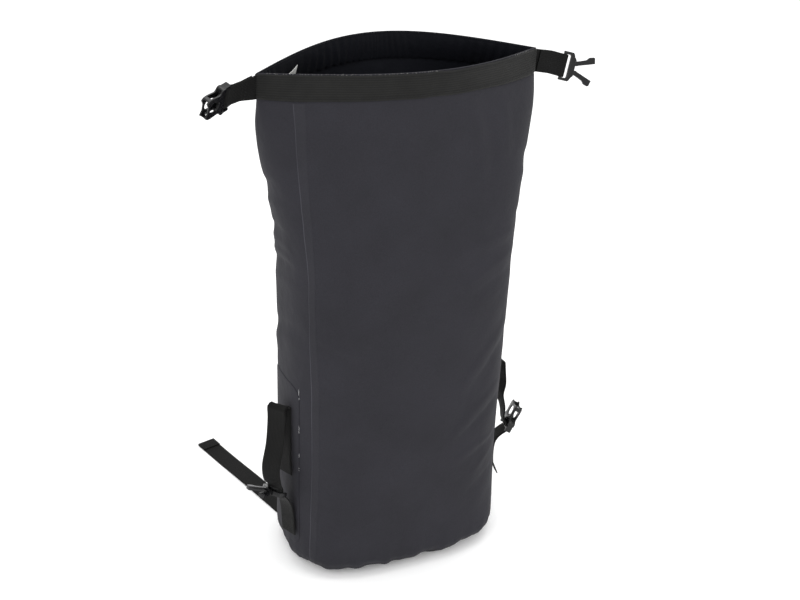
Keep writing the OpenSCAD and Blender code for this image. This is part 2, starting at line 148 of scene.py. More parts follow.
# Creases: distance round and height of each end, half width, height (a groove is negative)
CREASES = [
    (-252, 458, -160, 484, 9, -3.4), (-250, 438, -156, 464, 8, 2.4), (-236, 414, -158, 432, 6, -2.6),
    (-232, 400, -158, 417, 6, 1.8), (-228, 374, -160, 394, 6, -2.8), (-226, 386, -166, 403, 5, 1.6),
    (-222, 356, -150, 372, 7, 1.4), (-250, 262, -150, 306, 10, 2.8), (-246, 284, -146, 322, 9, -2.0),
    (-150, 462, -72, 408, 13, -1.8), (-138, 440, -66, 384, 11, 1.3), (-132, 326, -84, 300, 8, 1.4),
    (-124, 312, -66, 282, 7, -1.4), (-122, 256, -84, 228, 7, 1.3), (-150, 92, -118, 52, 9, -1.4),
    (34, 405, 118, 416, 6, 1.5), (42, 392, 124, 402, 7, -1.6), (36, 366, 128, 392, 6, 1.6),
    (52, 352, 130, 372, 7, -1.8), (48, 235, 122, 300, 9, 2.0), (60, 226, 132, 286, 8, -1.9),
    (44, 178, 118, 222, 7, 2.0), (50, 168, 126, 206, 6, -1.8), (50, 142, 112, 154, 5, 1.4),
    (58, 132, 124, 148, 6, -1.5), (76, 114, 116, 134, 5, 1.5), (70, 90, 128, 104, 7, -1.3),
    (56, 572, 66, 486, 8, 2.0), (72, 566, 78, 490, 7, -1.6), (90, 568, 94, 500, 8, 1.7),
    (118, 500, 190, 462, 9, -2.6), (124, 476, 196, 444, 8, 2.0), (126, 430, 196, 418, 6, -2.0),
    (230, 470, 322, 440, 11, -2.2), (246, 448, 330, 420, 9, 1.8), (250, 330, 340, 300, 10, 1.8),
    (-340, 470, -270, 440, 11, -2.2), (-352, 230, -280, 262, 10, 1.8), (-330, 140, -262, 160, 9, -1.6)]


def relief(s, z):
    """How far the real fabric stands off the smooth surface."""
    s = np.where(s > GIRTH / 2, s - GIRTH, s)
    out = 0.7 * waves(s, z, 150, 3) + 0.22 * waves(s, z, 52, 5) + 0.07 * waves(s, z, 22, 8)
    # the upper left side swells outwards
    out = out + 5.5 * np.exp(-((s + 205) / 62) ** 2 - ((z - 505) / 52) ** 2)
    out = out - 2.6 * np.exp(-((s + 112) / 46) ** 2 - ((z - 516) / 44) ** 2)
    out = out - 1.6 * np.exp(-((s - 40) / 60) ** 2 - ((z - 500) / 50) ** 2)
    for s0, z0, s1, z1, half, high in CREASES:
        length = math.hypot(s1 - s0, z1 - z0)
        ux, uz = (s1 - s0) / length, (z1 - z0) / length
        along = (s - s0) * ux + (z - z0) * uz
        bow = 0.05 * length * np.sin(np.pi * np.clip(along / length, 0, 1))
        aside = (z - z0) * ux - (s - s0) * uz - bow
        past = np.clip(-along, 0, None) ** 2 + np.clip(along - length, 0, None) ** 2
        ends = np.exp(-past / (1.6 * half) ** 2)
        fade = np.sin(np.pi * np.clip(0.08 + 0.84 * along / length, 0, 1)) ** 0.6
        steep = np.where(aside > 0, aside / (0.75 * half), aside / (1.3 * half))
        out = out + 0.6 * high * np.exp(-steep ** 2) * ends * fade
    out = out * np.clip((MOUTH_H - 8 - z) / 45, 0, 1) ** 0.7 * np.clip((z - 8) / 45, 0.15, 1)
    # the side straps are sewn down here, so the fabric under them stays nearly flat
    for side, low, high in ((-1, 34, 236), (1, 60, 236)):
        gap = np.abs(np.abs(s) - GIRTH / 4) * (np.sign(s) == side) + 400 * (np.sign(s) != side)
        calm = np.clip((gap - 34) / 16, 0, 1) + np.clip((z - high) / 20, 0, 1) + np.clip((low - z) / 20, 0, 1)
        out = out * np.clip(calm, 0.12, 1)
    # under the shoulder straps
    out = np.where((np.abs(s) > 200) & (out > 1.5), 1.5, out)
    # puckers where the walls are welded to the base
    low = np.exp(-(z / 34) ** 2)
    pucker = np.sin(2 * np.pi * 17 * s / GIRTH + 2.2 * np.sin(2 * np.pi * 3 * s / GIRTH + 0.7))
    small = np.sin(2 * np.pi * 41 * s / GIRTH + 1.7 * np.sin(2 * np.pi * 5 * s / GIRTH))
    return out + low * (1.3 * pucker + 0.45 * small)


def surface(z, turn, off=0.0, creased=1.0):
    """A point of the creased surface, moved outwards by off."""
    z, turn = np.broadcast_arrays(np.asarray(z, float), np.asarray(turn, float))
    p = plain(z, turn)
    du = plain(z, turn + 0.4) - plain(z, turn - 0.4)
    dz = plain(np.clip(z + 1, 0, MOUTH_H), turn) - plain(np.clip(z - 1, 0, MOUTH_H), turn)
    n = np.cross(du, dz)
    n /= np.linalg.norm(n, axis=-1, keepdims=True)
    s = distance_at(turn)
    round_bag = 2 * np.pi * s / GIRTH
    lift = 1.6 * np.exp(-(z / 26) ** 2) * (1 + np.sin(9 * round_bag + 1.1 * np.sin(2 * round_bag)))
    p = p + n * (np.asarray(off) + creased * relief(s, z))[..., None]
    p[..., 2] += creased * lift * np.clip(z / 6, 0, 1)
    return p


def seam_turn(z):
    """The taped seam wanders a little on its way down."""
    return np.interp(z, [0, 60, 150, 253, 304, 364, 411, 468, 528, 575, 600],
                     [212, 213, 214, 213.6, 211.5, 209.4, 210.8, 212.1, 214.6, 216.6, 217])


RIGHT_SEAM = 352


# ---------------------------------------------------------------- materials
class Nodes:
    """A short way to wire a procedural material."""

    def __init__(self, name):
        self.material = bpy.data.materials.new(name)
        self.material.use_nodes = True
        self.tree = self.material.node_tree
        self.shader = self.tree.nodes["Principled BSDF"]

    def link(self, value, socket):
        if isinstance(value, bpy.types.NodeSocket):
            self.tree.links.new(value, socket)
        else:
            socket.default_value = value

    def add(self, kind, out=0, **values):
        node = self.tree.nodes.new(kind)
        for key, value in values.items():
            if key.startswith("i"):
                name = key[1:]
                self.link(value, node.inputs[int(name) if name.isdigit() else name.replace("_", " ")])
            else:
                setattr(node, key, value)
        return node.outputs[out]

    def math(self, operation, a, b=0.0):
        return self.add("ShaderNodeMath", operation=operation, i0=a, i1=b)

    def noise(self, where, scale, detail=3.0, roughness=0.55):
        return self.add("ShaderNodeTexNoise", iVector=where, iScale=scale, iDetail=detail,
                        iRoughness=roughness)

    def ramp(self, value, low, high, to_low, to_high):
        return self.add("ShaderNodeMapRange", i0=value, i1=low, i2=high, i3=to_low, i4=to_high)

    def tint(self, colour, amount):
        """colour times a varying amount."""
        return self.add("ShaderNodeVectorMath", operation="SCALE", i0=colour[:3], iScale=amount)

    def bump(self, height, distance, strength=1.0, normal=None):
        node = self.tree.nodes.new("ShaderNodeBump")
        node.inputs["Strength"].default_value = strength
        node.inputs["Distance"].default_value = distance
        self.tree.links.new(height, node.inputs["Height"])
        if normal is not None:
            self.tree.links.new(normal, node.inputs["Normal"])
        return node.outputs[0]

    def place(self):
        return self.add("ShaderNodeTexCoord", out=3)

    def woven(self):
        """Distance across, distance along, and distance from the edge, stored on the mesh in mm."""
        out = self.add("ShaderNodeAttribute", out=1, attribute_name="weave")
        split = self.tree.nodes.new("ShaderNodeSeparateXYZ")
        self.tree.links.new(out, split.inputs[0])
        return split.outputs

    def finish(self, colour, roughness, normal, **constants):
        self.link(colour, self.shader.inputs["Base Color"])
        self.link(roughness, self.shader.inputs["Roughness"])
        if normal is not None:
            self.link(normal, self.shader.inputs["Normal"])
        for key, value in constants.items():
            self.shader.inputs[key.replace("_", " ")].default_value = value
        return self.material


def coated_fabric(name, colour, rough, grain=1.0, edge=0.0, shine=0.12):
    """Coated cloth: a fine weave under a satin skin, mottled, with small creases."""
    n = Nodes(name)
    where = n.place()
    across, along, rim = n.woven()
    speck = n.noise(where, 900.0, 2.0)
    mottle = n.noise(where, 14.0, 4.0)
    tone = n.math("MULTIPLY", n.ramp(speck, 0.3, 0.7, 0.9, 1.1), n.ramp(mottle, 0.3, 0.7, 0.86, 1.12))
    # edge paints the strip within 1.1 mm of a piece's edge: a painted highlight when positive, painted shade
    # when negative
    if edge:
        tone = n.math("MULTIPLY", tone, n.ramp(rim, 0.0, 1.1, 1 + edge, 1.0))
    warp, weft = (n.math("SINE", n.math("MULTIPLY", way, 5.2)) for way in (across, along))
    fine = n.math("ADD", warp, weft)
    small = n.noise(where, 170.0, 5.0, 0.6)
    creases = n.noise(where, 38.0, 4.0, 0.5)
    normal = n.bump(fine, 0.00002 * grain, 0.35)
    normal = n.bump(small, 0.0005 * grain, 0.22, normal)
    normal = n.bump(creases, 0.0026 * grain, 0.5, normal)
    return n.finish(n.tint(colour, tone), n.ramp(mottle, 0.3, 0.7, rough - 0.05, rough + 0.06), normal,
                    Specular_IOR_Level=shine, Sheen_Weight=0.02, Sheen_Roughness=0.5)


def webbing(name, colour, rib=1.9, pick=1.25):
    """Woven strap: ribs along its length, crossed by picks, with a fine fuzz; a painted highlight makes it
    lighter at its edges.
    """
    n = Nodes(name)
    where = n.place()
    across, along, rim = n.woven()
    ribs = n.math("ABSOLUTE", n.math("SINE", n.math("MULTIPLY", across, math.pi / rib)))
    step = n.math("MULTIPLY", n.math("FLOOR", n.math("DIVIDE", across, rib)), 0.5)
    beat = n.math("ADD", n.math("DIVIDE", along, pick), step)
    picks = n.math("ABSOLUTE", n.math("SINE", n.math("MULTIPLY", beat, math.pi)))
    weave = n.math("ADD", n.math("MULTIPLY", ribs, 0.6), n.math("MULTIPLY", picks, 0.4))
    fuzz = n.noise(where, 1400.0, 2.0)
    dust = n.noise(where, 60.0, 4.0)
    # the tone follows the weave's height: painted shade in the grooves, painted light on the ribs; dust
    # varies it at random
    tone = n.math("MULTIPLY", n.ramp(weave, 0.1, 1.0, 0.62, 1.15), n.ramp(dust, 0.3, 0.7, 0.88, 1.14))
    # painted highlight: lighter within 0.9 mm of the strap's edges
    tone = n.math("MULTIPLY", tone, n.ramp(rim, 0.0, 0.9, 1.5, 1.0))
    normal = n.bump(weave, 0.00032, 0.8)
    normal = n.bump(fuzz, 0.0001, 0.35, normal)
    return n.finish(n.tint(colour, tone), n.ramp(weave, 0.0, 1.0, 0.78, 0.6), normal,
                    Specular_IOR_Level=0.12, Sheen_Weight=0.03, Sheen_Roughness=0.4)


def moulded(name, colour, rough):
    """Injection-moulded plastic: fine spark texture, faint flow marks and handling scuffs."""
    n = Nodes(name)
    where = n.place()
    grain = n.noise(where, 1500.0, 2.0)
    flow = n.noise(where, 45.0, 5.0)
    scuff = n.ramp(n.noise(where, 320.0, 6.0, 0.7), 0.56, 0.72, 0.0, 1.0)
    tone = n.math("ADD", n.ramp(flow, 0.3, 0.7, 0.9, 1.12), n.math("MULTIPLY", scuff, 0.5))
    normal = n.bump(grain, 0.00003, 0.4)
    normal = n.bump(flow, 0.0003, 0.1, normal)
    dull = n.math("ADD", n.ramp(flow, 0.3, 0.7, rough - 0.05, rough + 0.05), n.math("MULTIPLY", scuff, 0.15))
    return n.finish(n.tint(colour, tone), dull, normal, Specular_IOR_Level=0.36)


def spacer_mesh(name, colour):
    """Padded mesh fabric: a grid of small open cells."""
    n = Nodes(name)
    where = n.place()
    cells = n.add("ShaderNodeTexVoronoi", iVector=where, iScale=420.0, iRandomness=0.25)
    soft = n.noise(where, 90.0, 3.0)
    normal = n.bump(cells, 0.0006, 0.7)
    normal = n.bump(soft, 0.0008, 0.2, normal)
    # painted shade: the open cells are darker than the threads between them
    tone = n.math("MULTIPLY", n.ramp(cells, 0.0, 0.6, 0.6, 1.2), n.ramp(soft, 0.3, 0.7, 0.9, 1.1))
    return n.finish(n.tint(colour, tone), 0.8, normal, Sheen_Weight=0.3, Specular_IOR_Level=0.3)


def label_cloth(name):
    """White woven label with a fine satin weave."""
    n = Nodes(name)
    along = n.woven()[1]
    lines = n.math("SINE", n.math("MULTIPLY", along, 9.0))
    dust = n.noise(n.place(), 300.0, 4.0)
    tone = n.ramp(dust, 0.3, 0.7, 0.9, 1.02)
    return n.finish(n.tint((0.72, 0.72, 0.70, 1), tone), 0.6, n.bump(lines, 0.00004, 0.6), Sheen_Weight=0.2)


FABRIC = coated_fabric("coated_fabric", (0.0220, 0.0215, 0.0265, 1), 0.78)
# the seam tape's edge=1.2 is a painted highlight along its first edge
TAPE = coated_fabric("seam_tape", (0.0240, 0.0235, 0.0285, 1), 0.74, 0.6, edge=1.2)
# the patch's edge=-0.3 is painted shade along its side edges
PATCH = coated_fabric("welded_patch", (0.0220, 0.0215, 0.0265, 1), 0.75, 0.8, edge=-0.3)
# Lining and hem are darker than the outer fabric: partly their own black, partly painted shade of the bag's
# inside; the hem is darkest
LINING = coated_fabric("lining", (0.0075, 0.0082, 0.0115, 1), 0.6, 1.2, shine=0.12)
HEM = coated_fabric("hem_lining", (0.0046, 0.0050, 0.0072, 1), 0.6, 1.2, shine=0.06)
BAND = webbing("rim_webbing", (0.0125, 0.0125, 0.0120, 1), 2.3, 1.1)
STRAP = webbing("strap_webbing", (0.0042, 0.0042, 0.0041, 1))
PLASTIC = moulded("buckle_plastic", (0.0040, 0.0040, 0.0046, 1), 0.26)
STIFF = moulded("stiffener_plastic", (0.02, 0.02, 0.022, 1), 0.5)
MESH = spacer_mesh("spacer_mesh", (0.022, 0.022, 0.025, 1))
THREAD = webbing("thread", (0.022, 0.022, 0.023, 1), 0.4, 0.5)
PALE_THREAD = webbing("pale_thread", (0.30, 0.30, 0.29, 1), 0.4, 0.5)
LABEL = label_cloth("label_white")
GLUE = moulded("weld_glue", (0.30, 0.30, 0.31, 1), 0.5)


# ---------------------------------------------------------------- mesh tools
def add_piece(name, points, faces, materials, body, nodes=(), weave=None, face_material=None, sharp=38):
    """A mesh piece from points in mm; rides on body and stands for the CAD nodes named."""
    mesh = bpy.data.meshes.new(name)
    faces = faces.tolist() if isinstance(faces, np.ndarray) else faces
    mesh.from_pydata((np.asarray(points) * MM).tolist(), [], faces)
    for material in materials if isinstance(materials, (list, tuple)) else [materials]:
        mesh.materials.append(material)
    if face_material is not None:
        mesh.polygons.foreach_set("material_index", np.asarray(face_material, dtype=np.int32))
    if weave is not None:
        mesh.attributes.new("weave", "FLOAT_VECTOR", "POINT")
        set_weave(mesh, weave)
    mesh.polygons.foreach_set("use_smooth", np.ones(len(mesh.polygons), dtype=bool))
    mesh.set_sharp_from_angle(angle=math.radians(sharp))
    mesh.update()
    piece = bpy.data.objects.new(name, mesh)
    scene.collection.objects.link(piece)
    place_piece(piece, body, nodes)
    return piece


def set_weave(mesh, weave):
    """Stores across, along and distance from the edge, in mm, for the woven materials."""
    mesh.attributes["weave"].data.foreach_set("vector", np.asarray(weave, dtype=np.float32).ravel())


def place_piece(piece, body, nodes=()):
    if body:
        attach(piece, body)
    if nodes:
        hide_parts(*nodes)


def ring_faces(rings, sides, first=0):
    """Quads between successive rings of points."""
    faces = []
    for j in range(rings - 1):
        for i in range(sides):
            a, b = first + j * sides + i, first + j * sides + (i + 1) % sides
            faces.append([a, b, b + sides, a + sides])
    return faces


def shell_faces(rows, cols, around):
    """Quads of a closed shell between an outer and an inner grid."""
    j, i = np.meshgrid(np.arange(rows - 1), np.arange(cols if around else cols - 1), indexing="ij")
    k = (i + 1) % cols
    a, b, c, d = j * cols + i, (j + 1) * cols + i, (j + 1) * cols + k, j * cols + k
    n = rows * cols
    outer = np.stack([a, d, c, b], -1).reshape(-1, 4)
    inner = np.stack([a, b, c, d], -1).reshape(-1, 4) + n
    i0 = np.arange(cols if around else cols - 1)
    k0 = (i0 + 1) % cols
    top = (rows - 1) * cols
    parts = [outer, inner, np.stack([i0, i0 + n, k0 + n, k0], -1),
             np.stack([top + i0, top + k0, top + k0 + n, top + i0 + n], -1)]
    if not around:
        j0 = np.arange(rows - 1)
        last = cols - 1
        parts.append(np.stack([j0 * cols, (j0 + 1) * cols, (j0 + 1) * cols + n, j0 * cols + n], -1))
        parts.append(np.stack([j0 * cols + last, j0 * cols + last + n, (j0 + 1) * cols + last + n,
                               (j0 + 1) * cols + last], -1))
    return np.concatenate(parts), len(outer)


def loft(name, z, turn, inner, outer, materials, nodes, around=False, creased=1.0):
    """A closed shell on the bag's surface between two offsets, over grids of height and turn."""
    rows, cols = z.shape
    out = surface(z, turn, outer, creased).reshape(-1, 3)
    inn = surface(z, turn, inner, creased).reshape(-1, 3)
    faces, outer_count = shell_faces(rows, cols, around)
    side = np.full(len(faces), 0)
    side[outer_count:2 * outer_count] = 1 if isinstance(materials, (list, tuple)) else 0
    s = distance_at(turn)
    rim = np.minimum(np.arange(cols)[None, :], np.arange(cols)[::-1][None, :]) * np.ones((rows, 1))
    width = np.linalg.norm(np.diff(out.reshape(rows, cols, 3), axis=1), axis=-1).mean()
    rim = np.full((rows, cols), 9.0) if around else rim * width
    weave = np.stack([s, z, rim], -1).reshape(-1, 3)
    return add_piece(name, np.concatenate([out, inn]), faces, materials, "bag", nodes,
                     np.concatenate([weave, weave]), side)


def grid(z0, z1, rows, turn0, turn1, cols):
    """Even rows of heights and columns of turns."""
    z = np.linspace(z0, z1, rows)[:, None] * np.ones((1, cols))
    turn = np.linspace(turn0, turn1, cols)[None, :] * np.ones((rows, 1))
    return z, turn


def corner_inset(heights, corner):
    """How far a rounded corner pulls the edge in, at each height of a patch."""
    near = np.minimum(heights - heights[0], heights[-1] - heights)
    rounded = corner - np.sqrt(np.clip(corner ** 2 - (corner - near) ** 2, 0, None))
    return np.where(near < corner, rounded, 0)


# ---------------------------------------------------------------- fabric shell
def panel_grid(z, from_turn, to_turn, cols):
    """Rows of turns evenly spaced by distance from one edge to the other, anticlockwise from above."""
    def distance(turn):
        return np.interp(np.mod(turn + 90, 360) - 90, TURNS, AROUND)
    low = distance(from_turn)
    high = distance(to_turn)
    high = np.where(high <= low, high + GIRTH, high)
    t = np.linspace(0, 1, cols)[None, :]
    return z[:, None] * np.ones((1, cols)), turn_at(low[:, None] * (1 - t) + high[:, None] * t)


FINE = 1.0
wall_z = np.concatenate([np.linspace(12, 40, int(16 * FINE)), np.linspace(42, MOUTH_H, int(236 * FINE))])
seam = seam_turn(wall_z)
right = np.full(len(wall_z), float(RIGHT_SEAM))
z, turn = panel_grid(wall_z, seam, right, int(150 * FINE))
loft("front_fabric", z, turn, -FABRIC_T, 0.0, [FABRIC, LINING], ["front_panel"])
z, turn = panel_grid(wall_z, right, seam, int(230 * FINE))
loft("back_fabric", z, turn, -FABRIC_T, 0.0, [FABRIC, LINING], ["back_panel"])


def base_fabric():
    """A shallow tray: flat in the middle, its edge turned up inside the walls."""
    cols = int(300 * FINE)
    turns = turn_at(np.linspace(0, GIRTH, cols, endpoint=False))
    heights = [14, 12, 9, 6.5, 4.4, 2.8, 1.4, 0.5, 0]
    rings = [surface(h, turns, -1.35 if h > 12 else (-0.6 if h > 9 else 0.0)) for h in heights]
    rim = rings[-1].copy()
    for k in range(1, 15):
        p = rim.copy()
        p[:, :2] *= 1 - k / 15
        p[:, 2] = 0.0
        rings.append(p)
    outer = np.stack(rings)
    outer[..., 2] = np.clip(outer[..., 2], 0, None)
    inner = outer.copy()
    inner[:9] -= 1.2 * np.append(outer[:9, :, :2] / np.linalg.norm(outer[:9, :, :2], axis=-1, keepdims=True),
                                 np.zeros((9, cols, 1)), -1)
    inner[..., 2] = np.clip(inner[..., 2], FABRIC_T, None)
    rows = len(rings)
    i = np.arange(cols)
    k = (i + 1) % cols
    faces = []
    for j in range(rows - 1):
        faces += np.stack([j * cols + i, (j + 1) * cols + i, (j + 1) * cols + k, j * cols + k], -1).tolist()
    n = rows * cols
    faces += [[v + n for v in reversed(f)] for f in faces]
    faces += np.stack([i, k, k + n, i + n], -1).tolist()
    last = (rows - 1) * cols
    faces += [(last + i).tolist(), (last + n + i[::-1]).tolist()]
    points = np.concatenate([outer.reshape(-1, 3), inner.reshape(-1, 3)])
    weave = np.stack([points[:, 0], points[:, 1], np.full(len(points), 9.0)], -1)
    add_piece("base_fabric", points, faces, FABRIC, "bag", ["base_panel"], weave)


base_fabric()

z, turn = grid(6, 30, 10, 0, 360 - 1.2, 300)
loft("base_weld", z, turn, -FABRIC_T - 0.5, -FABRIC_T - 0.05, TAPE, ["base_weld_tape"],
     around=True)


def tape(name, centre, node):
    """Welded tape over a seam; a painted highlight runs along its first edge."""
    heights = np.linspace(14, MOUTH_H - WEB_W - 3, int(210 * FINE))
    cols, half = 13, 4.8
    middle = distance_at(centre(heights))
    across = np.linspace(-half, half, cols)[None, :] * (1 + 0.05 * np.sin(heights / 31))[:, None]
    thick = np.full((1, cols), 0.34)
    thick[0, [0, -1]] = 0.12
    z = heights[:, None] * np.ones((1, cols))
    piece = loft(name, z, turn_at(middle[:, None] + across), 0.02, thick, TAPE, [node])
    # only the first edge gets the painted highlight, which shows as a bright line
    edge = np.stack([across + 0 * z, z, (across + half) + 0 * z], -1).reshape(-1, 3)
    set_weave(piece.data, np.concatenate([edge, edge]))


tape("left_tape", seam_turn, "left_seam_tape")
tape("right_tape", lambda h: np.full(len(h), float(RIGHT_SEAM)), "right_seam_tape")


def patch(name, side, node):
    """A welded reinforcement with rounded corners, under a side strap."""
    low, high, half, corner = 34, 247, 37, 15
    heights = np.linspace(low, high, int(110 * FINE))
    cols = 31
    t = np.linspace(-1, 1, cols)[None, :]
    across = t * (half - corner_inset(heights, corner))[:, None]
    thick = np.full((len(heights), cols), 0.7)
    thick[:, [0, -1]] = 0.4
    thick[[0, -1], :] = 0.4
    z = heights[:, None] * np.ones((1, cols))
    loft(name, z, turn_at(side * GIRTH / 4 + across), 0.06, thick, PATCH, [node])


patch("left_patch", -1, "left_side_patch")
patch("right_patch", 1, "right_side_patch")


# ---------------------------------------------------------------- rim
def band(name, a0, a1, node, seed):
    """Webbing sewn round the mouth: a slightly rounded strap that ripples a little."""
    rows, cols = 15, int(220 * FINE)
    z, turn = grid(MOUTH_H - WEB_W - 1, MOUTH_H - 1, rows, a0, a1, cols)
    s = distance_at(turn)
    ripple = 0.35 * waves(s, z, 60, seed)
    z = z + 0.45 * waves(s, z * 0, 70, seed + 1) * 0.6
    round_edge = 1 - 0.5 * np.abs(np.linspace(-1, 1, rows))[:, None] ** 8
    face = 0.1 + WEB_T * round_edge + np.abs(ripple) * 0.5
    piece = loft(name, z, turn, 0.08, face, BAND, [node])
    across = np.linspace(0, WEB_W, rows)[:, None] * np.ones((1, cols))
    along = np.cumsum(np.full((rows, cols), 400 / cols), axis=1)
    rim = np.minimum(across, WEB_W - across)
    weave = np.stack([across, along, rim], -1).reshape(-1, 3)
    set_weave(piece.data, np.concatenate([weave, weave]))


band("front_band", 180.4, 359.6, "front_rim_band", 21)
band("back_band", 0.4, 179.6, "back_rim_band", 25)
for name, a0, a1 in (("front_rim_stiffener", 196, 344), ("back_rim_stiffener", 16, 164)):
    z, turn = grid(MOUTH_H - WEB_W + 3, MOUTH_H - 5, 5, a0, a1, 90)
    loft(name.replace("_rim", ""), z, turn, -FABRIC_T - 0.9, -FABRIC_T - 0.1, STIFF,
         [name])


def hem():
    """The lining turned down inside the mouth and gathered into small uneven pleats."""
    rows, cols = 22, int(900 * FINE)
    z, turn = grid(MOUTH_H - 27, MOUTH_H - 0.8, rows, 0, 360 - 360 / cols, cols)
    s = distance_at(turn)
    uneven = 1.6 * waves(s, z * 0, 90, 31)
    lean = 0.012 * (z - 580) * waves(s, z * 0, 60, 32) * 9
    pleat = np.sin(2 * np.pi * 88 * s / GIRTH + uneven * 2.1 + lean)
    deep = np.clip(0.65 + 0.5 * waves(s, z * 0, 110, 33), 0.25, 1.1)
    height = np.linspace(0, 1, rows)[:, None]
    swell = np.sin(np.pi * np.clip(height * 1.05, 0, 1)) ** 0.7
    out = -FABRIC_T - 1.7 - 1.2 * swell - 0.75 * pleat * deep * (0.35 + 0.65 * swell)
    z = z - 1.1 * pleat * deep * (height < 0.06)
    loft("inner_hem", z, turn, out - 0.5, out, HEM, ["inner_hem"], around=True, creased=0.3)


hem()


def care_label():
    """A small folded label sewn under the hem; its tip curls towards the middle."""
    rows, cols = 14, 9
    z, turn = grid(MOUTH_H - 39, MOUTH_H - 12, rows, 136, 145.5, cols)
    z = z + 4.5 * np.linspace(1, 0, cols)[None, :] ** 2
    t = np.linspace(0, 1, rows)[:, None] * np.ones((1, cols))
    out = -FABRIC_T - 5.2 - 3.0 * t ** 2 - 0.6 * np.sin(np.linspace(0, 3, cols))[None, :]
    piece = loft("care_label", z, turn, out - 0.45, out, LABEL, ["care_label"], creased=0.0)


# ---------------------------------------------------------------- webbing
def smooth_path(points, step=1.6):
    """A smooth curve through the given points, its own points about step apart."""
    p = np.asarray(points, float)
    q = np.concatenate([[2 * p[0] - p[1]], p, [2 * p[-1] - p[-2]]])
    out = []
    for i in range(1, len(q) - 2):
        a, b, c, d = q[i - 1], q[i], q[i + 1], q[i + 2]
        n = max(2, int(np.linalg.norm(c - b) / step) + 1)
        for t in np.linspace(0, 1, n, endpoint=False):
            curve = (2 * a - 5 * b + 4 * c - d) * t * t + (3 * b - a - 3 * c + d) * t ** 3
            out.append(0.5 * (2 * b + (c - a) * t + curve))
    out.append(p[-1])
    return np.asarray(out)


def section(width, thick):
    """Half of a strap's section: across, half thickness, rounded at the edges."""
    half = width / 2
    across = np.array([-half, -half + 0.25, -half + 0.8, -half * 0.75, -half * 0.35, 0,
                       half * 0.35, half * 0.75, half - 0.8, half - 0.25, half])
    up = thick / 2 * np.array([0.15, 0.7, 0.98, 1, 1, 1, 1, 1, 0.98, 0.7, 0.15])
    return across, up


def ribbon(name, centres, across_dirs, body, nodes=(), thick=1.42):
    """A flat strap along centres; across_dirs point along its width."""
    c = np.asarray(centres, float)
    w = np.broadcast_to(np.asarray(across_dirs, float), c.shape)
    tangent = np.gradient(c, axis=0)
    tangent /= np.linalg.norm(tangent, axis=1, keepdims=True)
    w = w - tangent * (w * tangent).sum(1, keepdims=True)
    w /= np.linalg.norm(w, axis=1, keepdims=True)
    normal = np.cross(tangent, w)
    across, up = section(WEB_W, thick)
    k = len(across)
    loop_a = np.concatenate([across, across[::-1]])
    loop_u = np.concatenate([up, -up[::-1]])
    points = c[:, None, :] + w[:, None, :] * loop_a[None, :, None]
    points = points + normal[:, None, :] * loop_u[None, :, None]
    length = np.concatenate([[0], np.cumsum(np.linalg.norm(np.diff(c, axis=0), axis=1))])
    rows, cols = len(c), 2 * k
    faces = ring_faces(rows, cols)
    for start, flip in ((0, False), ((rows - 1) * cols, True)):
        for m in range(k - 1):
            quad = [start + m, start + m + 1, start + cols - 2 - m, start + cols - 1 - m]
            faces.append(quad if flip else quad[::-1])
    weave = np.stack([np.broadcast_to(loop_a + WEB_W / 2, (rows, cols)),
                      np.broadcast_to(length[:, None], (rows, cols)),
                      np.broadcast_to(WEB_W / 2 - np.abs(loop_a), (rows, cols))], -1).reshape(-1, 3)
    return add_piece(name, points.reshape(-1, 3), [f[::-1] for f in faces], STRAP, body, nodes,
                     weave, sharp=55)


def stitches(name, lines, body, material=THREAD, length=2.6, gap=1.5, radius=0.3):
    """Rows of thread lying on a strap. lines: lists of (point, normal)."""
    points, faces = [], []
    shape = ((0.0, 0.35), (0.2, 1.0), (0.8, 1.0), (1.0, 0.35))
    sides = 6
    for line in lines:
        p = np.asarray([q[0] for q in line], float)
        n = np.asarray([q[1] for q in line], float)
        far = np.concatenate([[0], np.cumsum(np.linalg.norm(np.diff(p, axis=0), axis=1))])
        at = 0.5
        while at + length < far[-1]:
            ends = [np.array([np.interp(at + d, far, p[:, k]) for k in range(3)]) for d in (0, length)]
            up = np.array([np.interp(at + length / 2, far, n[:, k]) for k in range(3)])
            up /= np.linalg.norm(up)
            axis = (ends[1] - ends[0]) / np.linalg.norm(ends[1] - ends[0])
            side = np.cross(axis, up)
            first = len(points)
            for t, r in shape:
                centre = ends[0] * (1 - t) + ends[1] * t - up * (0.25 * radius if 0 < t < 1 else 0.9 * radius)
                for a in range(sides):
                    angle = 2 * math.pi * a / sides
                    points.append(centre + radius * r * (math.cos(angle) * side + math.sin(angle) * up))
            faces += ring_faces(len(shape), sides, first)
            faces.append([first + a for a in reversed(range(sides))])
            faces.append([first + (len(shape) - 1) * sides + a for a in range(sides)])
            at += length + gap
    weave = np.zeros((len(points), 3))
    weave[:, 2] = 9
    add_piece(name, points, faces, material, body, (), weave, sharp=80)


def frame_of(*steps):
    """A matrix in mm from ('t', x, y, z) and ('x'|'y'|'z', degrees) steps, applied outermost first."""
    m = Matrix.Identity(4)
    for step in steps:
        if step[0] == "t":
            m = m @ Matrix.Translation(step[1:])
        else:
            m = m @ Matrix.Rotation(math.radians(step[1]), 4, step[0].upper())
    return m


def to_world(matrix, points):
    """Points of a frame, in the CAD frame."""
    m = np.array(matrix)
    p = np.asarray(points, float)
    return p @ m[:3, :3].T + m[:3, 3]


def turned(matrix, vector):
    """A direction of a frame, in the CAD frame."""
    return np.array(matrix)[:3, :3] @ np.asarray(vector, float)


BAR_R, BAR_GAP = 2.0, 0.1
LOOP_R = BAR_R + BAR_GAP + WEB_T / 2


def arc(centre, radius, a0, a1, n):
    """n steps round part of a circle, from a0 to a1 degrees."""
    a = np.radians(np.linspace(a0, a1, n + 1))
    return np.stack([centre[0] + radius * np.cos(a), centre[1] + radius * np.sin(a)], -1)


